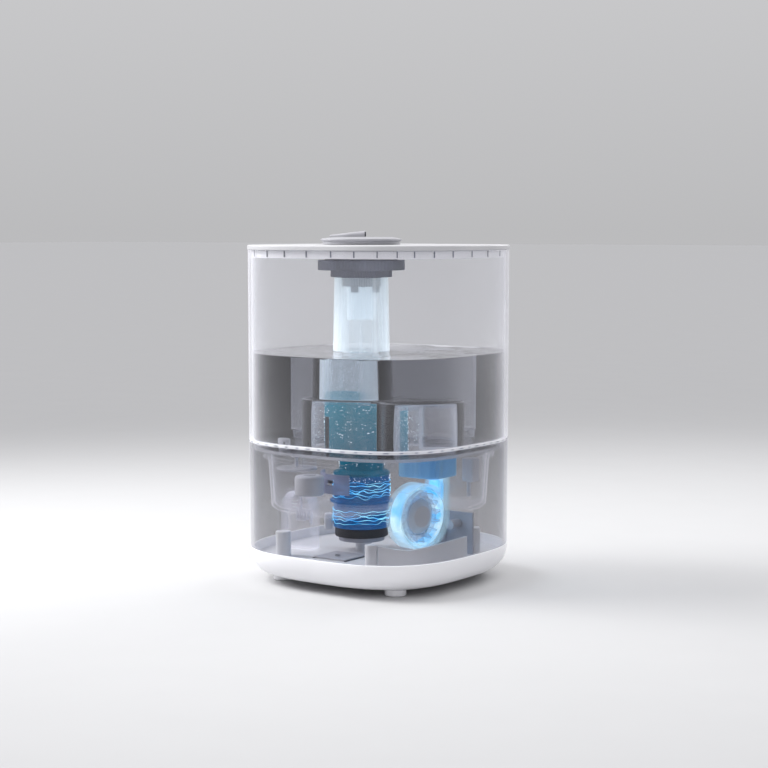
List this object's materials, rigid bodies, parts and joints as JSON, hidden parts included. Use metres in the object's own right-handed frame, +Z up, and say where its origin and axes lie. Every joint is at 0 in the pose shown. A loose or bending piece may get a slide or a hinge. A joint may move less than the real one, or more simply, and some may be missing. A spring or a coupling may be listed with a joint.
{
  "type": "cool mist humidifier",
  "caption": "Rounded-square ultrasonic humidifier: clear water tank with a central mist tube on a clear base with blower and mist chamber, white lid with a turning nozzle.",
  "frame": {"origin": "centre of the footprint, at the underside of the feet", "axes": "+Z up; -Y is the front face, +X the right face, +Y the back with the power inlet"},
  "size_m": [0.2, 0.2, 0.297],
  "materials": {
    "white": "white moulded plastic, satin gloss",
    "clear": "clear moulded plastic, polished",
    "blue_clear": "blue-tinted clear plastic",
    "teal_clear": "teal-tinted clear plastic",
    "slate": "slate grey moulded plastic",
    "seal": "black seal rubber",
    "grey": "light grey moulded plastic",
    "metal": "plated steel",
    "board": "green circuit board"
  },
  "bodies": {
    "base": {"base_pan": "white", "bottom_cover": "white", "cover_screw_1": "metal", "cover_screw_2": "metal", "cover_screw_3": "metal", "cover_screw_4": "metal", "foot_1": "white", "foot_2": "white", "foot_3": "white", "foot_4": "white", "base_housing": "clear", "intake_drum": "clear", "sensor_board": "grey", "water_tray": "clear", "mist_chamber": "blue_clear", "mist_riser": "teal_clear", "transducer_seal": "seal", "transducer": "metal", "transducer_board": "board", "chamber_collar": "grey", "chamber_bracket": "white", "blower_volute": "clear", "volute_cover": "clear", "blower_motor": "metal", "duct_box": "blue_clear", "control_board": "board", "board_transformer": "grey", "board_capacitor": "slate", "level_switch_box": "white", "level_switch_pin": "white", "access_plate": "grey", "access_screw": "metal", "button_switch": "slate", "dc_inlet": "slate"},
    "tank": {"tank_floor": "clear", "tank_wall": "clear", "mist_tube": "clear", "valve_cage": "white", "gauge_strip": "slate"},
    "lid": {"lid_plate": "white", "lid_skirt": "white", "nozzle_seat": "slate", "drip_sleeve": "clear"},
    "nozzle": {"nozzle_dial": "white", "nozzle_spout": "white"},
    "float": {"float_cup": "white", "float_stem": "clear", "float_plate": "clear"},
    "valve": {"valve_plunger": "white", "valve_seal": "seal"},
    "fan": {"blower_hub": "grey", "blower_wheel": "clear"},
    "button": {"power_button": "white"}
  },
  "joints": [
    {"name": "tank_lift", "type": "slide", "parent": "base", "child": "tank", "axis": [0, 0, 1], "range_m": [0, 0.08]},
    {"name": "lid_lift", "type": "slide", "parent": "tank", "child": "lid", "axis": [0, 0, 1], "range_m": [0, 0.05]},
    {"name": "nozzle_turn", "type": "hinge", "parent": "lid", "child": "nozzle", "pos_m": [-0.019, 0, 0.288], "axis": [0, 0, 1], "continuous": true},
    {"name": "float_rise", "type": "slide", "parent": "base", "child": "float", "axis": [0, 0, 1], "range_m": [0, 0.004]},
    {"name": "valve_rise", "type": "slide", "parent": "tank", "child": "valve", "axis": [0, 0, 1], "range_m": [0, 0.004]},
    {"name": "fan_spin", "type": "hinge", "parent": "base", "child": "fan", "pos_m": [0.052, -0.018, 0.0594], "axis": [0.9808, -0.1951, 0], "continuous": true},
    {"name": "button_press", "type": "slide", "parent": "base", "child": "button", "axis": [0, -1, 0], "range_m": [0, 0.001], "stiffness_N_per_m": 600}
  ],
  "couplings": [
    {"joint": "valve_rise", "follows": "float_rise", "ratio": 1}
  ]
}
